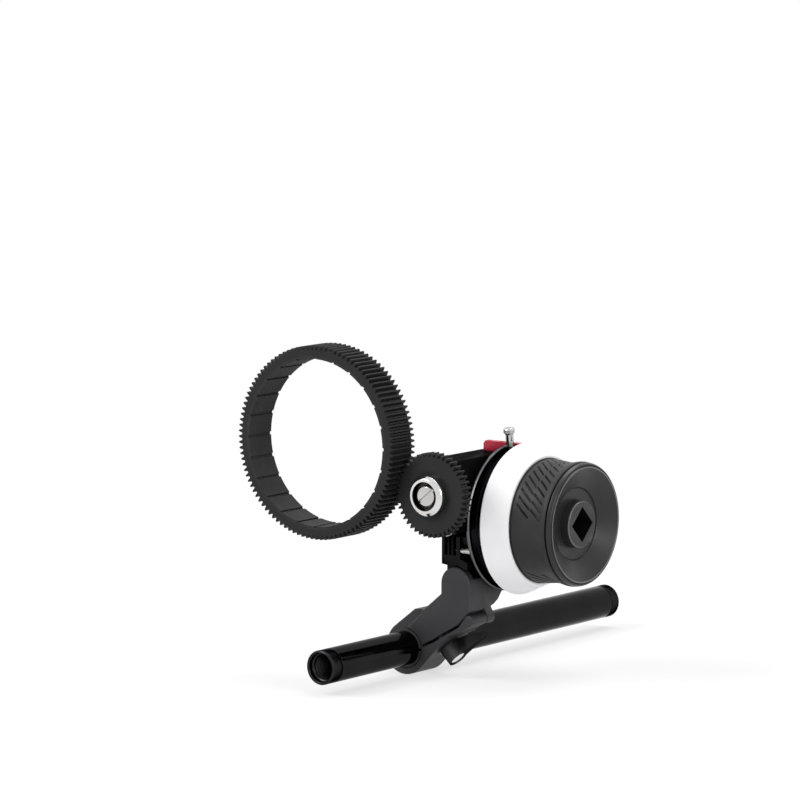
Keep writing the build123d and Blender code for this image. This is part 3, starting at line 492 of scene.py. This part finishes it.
thumb_screw(
    "pin_a", "stop_pin_a", x=38.1, angle=97.9, thread_r=1.1, shank_r=1.8, head_r=2.5,
    head_start=37.8, head_end=40.2, knurls=26,
)
thumb_screw(
    "pin_b", "stop_pin_b", x=41.0, angle=-54.0, thread_r=0.8, shank_r=1.25, head_r=1.9,
    head_start=35.2, head_end=37.2, knurls=20,
)

# ---------------------------------------------------------------------------- marking disc
# A cone-shaped disc moulded in white acetal, matte so that a marker pen writes on it.
disc_white = grained(
    "disc_white", (0.75, 0.75, 0.76), (0.79, 0.79, 0.795),
    rough=0.5, grain=2200, depth=6e-6, specular=0.4,
)
KNOB_LATHE = (KNOB_CENTRE, (1, 0, 0), (0, 1, 0))
DISC_BACK, DISC_FRONT, DISC_BORE_R, DISC_RIM_R = 42.5, 53.8, 27.2, 33.3
disc_line = softened(
    [
        (48.0, DISC_BORE_R),
        (42.8, DISC_BORE_R),
        (DISC_BACK, 27.5),
        (DISC_BACK, 33.0),
        (43.0, DISC_RIM_R),
        (53.5, 28.35),
        (DISC_FRONT, 28.0),
        (DISC_FRONT, DISC_BORE_R),
        (48.0, DISC_BORE_R),
    ],
    0.25,
)
turned("disc", disc_line[:-1], KNOB_LATHE, disc_white, "marking_disc", steps=288)

# ---------------------------------------------------------------------------- hand knob
# The carrier inside is moulded. Round it sits the grip, a satin barrel with two patches of
# slanted slots for the fingers.
carrier_black = grained(
    "carrier_black", (0.012, 0.012, 0.012), (0.018, 0.018, 0.018),
    rough=0.5, grain=2000, depth=8e-6,
)
paint(carrier_black, "knob_hub")
GRIP_R, GRIP_BORE_R, GRIP_START, GRIP_END, LIP_R = 26.9, 22.95, 54.0, 71.9, 27.1
BARREL_R = 25.0  # the barrel's outside lies beyond this radius
GRIP_STEP, GRIP_COLUMNS = 0.19, 760  # longest step along the barrel, and columns round it
SLOT_PITCH = 7.8  # degrees
SLOTS = 15
PATCH_START = (50.4, 230.4)  # degrees from +Y towards +Z
SLOT_ROWS = ((59.4, 6.8, 0.0), (66.2, 6.2, 3.2))  # middle and length along X, degrees ahead
SLOT_SLANT = 1.8  # degrees for each millimetre along X
SLOT_WIDTH, SLOT_DEPTH = 1.1, 0.6
SLOT_FLAT = 0.8  # share of a full V's depth at which the slot's bottom is flat


def slot_depth(x, angle):
    """Depth of the slots at each point. A slot is a V with round ends: at a distance d from
    its middle line, which is as long as the row asks, the V's depth is 1 - 2 d / width of
    the full one, and a flat bottom cuts it off."""
    deepest = np.zeros(np.broadcast(x, angle).shape)
    lean = np.arctan(np.radians(SLOT_SLANT) * GRIP_R)
    for middle, length, ahead in SLOT_ROWS:
        for start in PATCH_START:
            swept = (angle - start - ahead - SLOT_SLANT * (x - middle)) % 360
            number = np.floor(swept / SLOT_PITCH)
            across = (swept - (number + 0.5) * SLOT_PITCH) * np.radians(1) * GRIP_R * np.cos(lean)
            beside = (x - middle) / np.cos(lean)
            over_end = np.maximum(np.abs(beside) - (length / 2 / np.cos(lean) - SLOT_WIDTH / 2), 0)
            v_shape = 1 - 2 * np.hypot(across, over_end) / SLOT_WIDTH
            cut = np.clip(v_shape, 0, SLOT_FLAT) / SLOT_FLAT
            deepest = np.maximum(deepest, SLOT_DEPTH * cut * (number < SLOTS))
    return deepest


def divided(line, spacing, beyond):
    """Outline with more points on the stretches that lie beyond a radius, so that each step
    along them is at most the spacing."""
    steps = np.ones(len(line) - 1, int)
    far = (line[:-1, 1] > beyond) & (line[1:, 1] > beyond)
    lengths = np.linalg.norm(np.diff(line, axis=0), axis=1)
    steps[far] = np.ceil(lengths[far] / spacing)
    first = np.repeat(np.arange(len(steps)), steps)
    share = np.concatenate([np.arange(n) / n for n in steps])
    points = line[first] + np.diff(line, axis=0)[first] * share[:, None]
    return np.vstack([points, line[-1:]])


grip_line = softened(
    [
        (62.0, GRIP_BORE_R),
        (GRIP_START, GRIP_BORE_R),
        (GRIP_START, 26.5),
        (GRIP_START + 0.4, GRIP_R),
        (58.7, GRIP_R - 0.1),
        (61.5, GRIP_R - 0.5),
        (65.0, GRIP_R - 0.7),
        (67.2, GRIP_R - 0.5),
        (69.4, GRIP_R),
        (70.7, LIP_R),
        (GRIP_END - 0.3, LIP_R),
        (GRIP_END, LIP_R - 0.4),
        (GRIP_END, GRIP_BORE_R),
    ],
    [0.2, 0.2, 0.5, 1.3, 1.3, 1.1, 1.0, 0.6, 0.3, 0.2, 0.2],
)
grip_line = divided(grip_line, GRIP_STEP, BARREL_R)
grip_x, grip_r = grip_line[:, :1], grip_line[:, 1:]
grip_turn = np.linspace(0, 360, GRIP_COLUMNS, endpoint=False)[None]
slotted_r = grip_r - (grip_r > BARREL_R) * slot_depth(grip_x, grip_turn)
grip_black = grained(
    "grip_satin_black", (0.017, 0.017, 0.018), (0.022, 0.022, 0.023),
    rough=0.5, grain=2600, depth=7e-6, specular=0.25,
)
grip_grid = carried(grip_x * np.ones_like(grip_turn), slotted_r, *KNOB_LATHE)
grip = skin("grip", grip_grid, grip_black, "knob_grip")


def around_knob(piece):
    """Middles of a piece's faces: place along the knob's axis and distance from it, both in
    millimetres, and angle round it in degrees."""
    middles = np.empty(3 * len(piece.data.polygons))
    piece.data.polygons.foreach_get("center", middles)
    x, y, z = (middles.reshape(-1, 3) / MM - KNOB_CENTRE).T
    return x, np.hypot(y, z), np.degrees(np.arctan2(z, y))


def second_finish(piece, finish, chosen):
    """Gives the chosen faces of a piece another finish."""
    piece.data.materials.append(finish)
    piece.data.polygons.foreach_set("material_index", chosen.astype(np.int32))


# The slots are smoother than the barrel, and painted shade darkens them.
SLOT_EDGE = 0.08  # faces cut deeper than this belong to a slot
recess_painted_shade = grained(
    "recess_painted_shade", (0.003, 0.003, 0.003), (0.005, 0.005, 0.005),
    rough=0.16, grain=2600, depth=2e-6, specular=0.2,
)
face_x, face_r, face_angle = around_knob(grip)
in_slot = (slot_depth(face_x, face_angle) > SLOT_EDGE) & (face_r > BARREL_R)
second_finish(grip, recess_painted_shade, in_slot)

# The front is turned: a thin lip with a conical dish in it, and faint rings left by the tool
# on the dish. A painted highlight runs round the edge of the dish, and painted shade darkens
# the fine groove round it.
FRONT_X, DISH_EDGE_R, GROOVE_R = 75.0, 24.9, 25.55
FRONT_BORE_R, FRONT_SEAT_R = 10.35, 22.9
RING_REPEAT = 0.3142  # the rings of a pattern of scale 1 repeat after this, in metres


def ringed(name, dark, light, rough, spacing, depth):
    """Turned finish: the grained finish with fine rings round the knob's axis, at a spacing
    in millimetres."""
    finish = grained(name, dark, light, rough, grain=3000, depth=4e-6, specular=0.3)
    tree = finish.node_tree
    grain = next(n for n in tree.nodes if n.type == "BUMP")
    centred = step(tree, "ShaderNodeMapping", coordinates(finish))
    centred.inputs["Location"].default_value = -Vector(KNOB_CENTRE) * MM
    rings = step(
        tree, "ShaderNodeTexWave", centred.outputs["Vector"],
        wave_type="RINGS", rings_direction="X",
    )
    rings.inputs["Scale"].default_value = RING_REPEAT / (spacing * MM)
    rings.inputs["Distortion"].default_value = 0.4
    relief(finish, rings.outputs["Fac"], depth, grain)
    return finish


front_black = ringed(
    "front_turned_black", (0.013, 0.013, 0.014), (0.018, 0.018, 0.019),
    rough=0.34, spacing=0.9, depth=5e-6,
)
# Painted highlight round the dish's edge, and painted shade in the groove round it.
ring_painted(front_black, PAINTED_HIGHLIGHT, KNOB_CENTRE, "X", DISH_EDGE_R, 0.2)
ring_painted(front_black, (0.001, 0.001, 0.001), KNOB_CENTRE, "X", GROOVE_R, 0.2)
front_line = softened(
    [
        (67.0, FRONT_BORE_R),
        (66.0, FRONT_BORE_R),
        (66.0, FRONT_SEAT_R),
        (GRIP_END + 0.1, FRONT_SEAT_R),
        (GRIP_END + 0.1, LIP_R - 1.5),
        (GRIP_END + 0.6, LIP_R - 1.5),
        (GRIP_END + 0.65, LIP_R - 0.5),
        (GRIP_END + 1.0, LIP_R - 0.2),
        (73.7, 26.7),
        (74.4, 26.3),
        (74.65, 25.9),
        (74.3, 25.6),
        (74.6, 25.3),
        (FRONT_X, 25.15),
        (FRONT_X, 24.75),
        (74.7, 24.5),
        (69.9, 15.8),
        (69.3, 15.6),
        (68.9, 15.0),
        (68.9, FRONT_BORE_R),
        (67.0, FRONT_BORE_R),
    ],
    [0.2, 0.2, 0.2, 0.2, 0.2, 0.2, 0.3, 0.3, 0.4, 0.4, 0.2, 0.1, 0.1, 0.1, 0.2, 0.3, 0.4, 0.4, 0.2],
)
turned("knob_face", front_line[:-1], KNOB_LATHE, front_black, "knob_front", steps=288)

# A painted highlight runs round the edge of the insert's boss, and painted shade darkens the
# inside of its square socket, 11 mm across.
BOSS_FACE, BOSS_EDGE_R, SQUARE_CORNER_R = 73.2, 10.0, 7.9
socket_black = ringed(
    "socket_black", (0.016, 0.016, 0.017), (0.021, 0.021, 0.022),
    rough=0.3, spacing=0.4, depth=2e-6,
)
ring_painted(socket_black, (0.11, 0.11, 0.115), KNOB_CENTRE, "X", BOSS_EDGE_R, 0.2)
socket = eased("socket", "socket_insert", socket_black, 0.18)
face_x, face_r, _ = around_knob(socket)
second_finish(socket, recess_painted_shade, (face_r < SQUARE_CORNER_R) & (face_x < BOSS_FACE - 0.1))

# ---------------------------------------------------------------------------- drive gear
# The gear is moulded in black acetal, with painted shade darkening its middle round the
# collar. Its collar and slotted screw are nickel plated, and painted shade darkens the recess
# round the screw.
GEAR_CENTRE = (26.5, 0.0, 71.5)
GEAR_SHADE_R, RECESS_R = 9.6, 6.3
acetal = grained(
    "gear_acetal", (0.010, 0.010, 0.011), (0.014, 0.014, 0.015),
    rough=0.45, grain=2400, depth=1e-5, specular=0.2,
)
ring_painted(acetal, (0.004, 0.004, 0.004), GEAR_CENTRE, "Y", 0.0, GEAR_SHADE_R, 1.8)
eased("output_gear", "drive_gear", acetal, 0.1, segments=1)
collar_nickel = grained(
    "collar_nickel", (0.60, 0.59, 0.58), (0.80, 0.79, 0.78),
    rough=0.12, metallic=1.0, grain=800, depth=1.5e-6,
)
ring_painted(collar_nickel, (0.03, 0.03, 0.03), GEAR_CENTRE, "Y", 0.0, RECESS_R)
eased("collar", "gear_collar", collar_nickel, 0.15)
eased("slot_screw", "gear_screw", nickel, 0.15)

# ---------------------------------------------------------------------------- lens ring
# The ring is moulded in black nylon with 104 teeth. Its ribbed rubber sleeve grips the lens.
ring_nylon = grained(
    "ring_nylon", (0.009, 0.009, 0.010), (0.013, 0.013, 0.014),
    rough=0.5, grain=2000, depth=1.4e-5, specular=0.2,
)
eased("lens_ring_teeth", "lens_gear_ring", ring_nylon, 0.12, segments=1)
rubber = grained(
    "sleeve_rubber", (0.010, 0.010, 0.010), (0.016, 0.016, 0.016),
    rough=0.75, grain=1500, depth=2e-5, specular=0.3,
)
paint(rubber, "ring_liner")

# ---------------------------------------------------------------------------- studio
# A wide pale floor, a white surround and three soft lamps. The floor glows white away from
# the unit, and near it takes a faint shadow.
FLOOR_SIZE, FLOOR_GAP = 40.0, 0.0004
NEAR, FAR = 0.2, 0.7  # distances from the origin, in metres
GLOW_NEAR, GLOW_FAR = 0.66, 1.0  # share of the floor's glow at those distances
WHITE = (1, 1, 1, 1)


def in_view(tree):
    """Value that is 1 for what the camera sees, directly or mirrored, and 0 for the light
    that falls on the unit."""
    rays = tree.nodes.new("ShaderNodeLightPath").outputs
    either = step(
        tree, "ShaderNodeMath", rays["Is Camera Ray"], rays["Is Glossy Ray"], operation="MAXIMUM"
    )
    return either.outputs[0]


floor_z = cad_low.z - FLOOR_GAP
floor_mesh = bpy.data.meshes.new("floor")
floor_mesh.from_pydata(
    [(x * FLOOR_SIZE, y * FLOOR_SIZE, floor_z) for x, y in ((-1, -1), (1, -1), (1, 1), (-1, 1))],
    [], [(0, 1, 2, 3)],
)
floor = bpy.data.objects.new("floor", floor_mesh)
bpy.context.scene.collection.objects.link(floor)
floor_paint = bpy.data.materials.new("floor_white")
floor_paint.use_nodes = True
floor_tree = floor_paint.node_tree
floor_tree.nodes.clear()
floor_tree.nodes.new("ShaderNodeTexCoord")
plain = step(floor_tree, "ShaderNodeBsdfDiffuse", (0.82, 0.82, 0.83, 1))
glow = step(floor_tree, "ShaderNodeEmission", WHITE, 1.0)
away = step(floor_tree, "ShaderNodeVectorMath", coordinates(floor_paint), operation="LENGTH")
glow_share = spread(floor_paint, away.outputs["Value"], GLOW_NEAR, GLOW_FAR, NEAR, FAR)
share = step(floor_tree, "ShaderNodeMath", in_view(floor_tree), glow_share, operation="MULTIPLY")
blend = step(
    floor_tree, "ShaderNodeMixShader", share.outputs[0], plain.outputs[0], glow.outputs[0]
)
step(floor_tree, "ShaderNodeOutputMaterial", blend.outputs[0])
floor_mesh.materials.append(floor_paint)

world = bpy.data.worlds.new("studio")
bpy.context.scene.world = world
world.use_nodes = True
air = world.node_tree
air.nodes.clear()
dim = step(air, "ShaderNodeBackground", WHITE, 0.5)
white = step(air, "ShaderNodeBackground", WHITE, 1.0)
air_mix = step(air, "ShaderNodeMixShader", in_view(air), dim.outputs[0], white.outputs[0])
step(air, "ShaderNodeOutputWorld", air_mix.outputs[0])

aim = Vector((0.02, 0.0, 0.04))


def lamp(name, place, size, watts):
    """Square soft lamp that points at the middle of the unit."""
    light = bpy.data.lights.new(name, "AREA")
    light.size, light.energy = size, watts
    holder = bpy.data.objects.new(name, light)
    holder.location = place
    holder.rotation_mode = "QUATERNION"
    holder.rotation_quaternion = (aim - Vector(place)).to_track_quat("-Z", "Y")
    bpy.context.scene.collection.objects.link(holder)


lamp("key", (-0.9, -1.1, 1.3), size=0.9, watts=23)
lamp("fill", (1.6, -0.4, 0.7), size=0.8, watts=12)
lamp("top", (0.1, 0.5, 1.5), size=1.0, watts=13)

# The camera stands to the front right of the unit, a little above it, with a long lens.
CAMERA_PLACE = (1.1763, -1.5784, 0.3527)
CAMERA_TURN, CAMERA_RISE = np.radians(36.9), np.radians(7.08)
CAMERA_SENSOR, CAMERA_LENS = 36.0, 205.25
camera_data = bpy.data.cameras.new("camera")
camera_data.sensor_width = CAMERA_SENSOR
camera_data.lens = CAMERA_LENS
camera_data.clip_end = 100
camera = bpy.data.objects.new("camera", camera_data)
camera.location = CAMERA_PLACE
back = Vector((
    np.sin(CAMERA_TURN) * np.cos(CAMERA_RISE),
    -np.cos(CAMERA_TURN) * np.cos(CAMERA_RISE),
    np.sin(CAMERA_RISE),
))
camera.rotation_mode = "QUATERNION"
camera.rotation_quaternion = (-back).to_track_quat("-Z", "Y")
bpy.context.scene.collection.objects.link(camera)
bpy.context.scene.camera = camera
bpy.context.scene.view_settings.view_transform = "Standard"
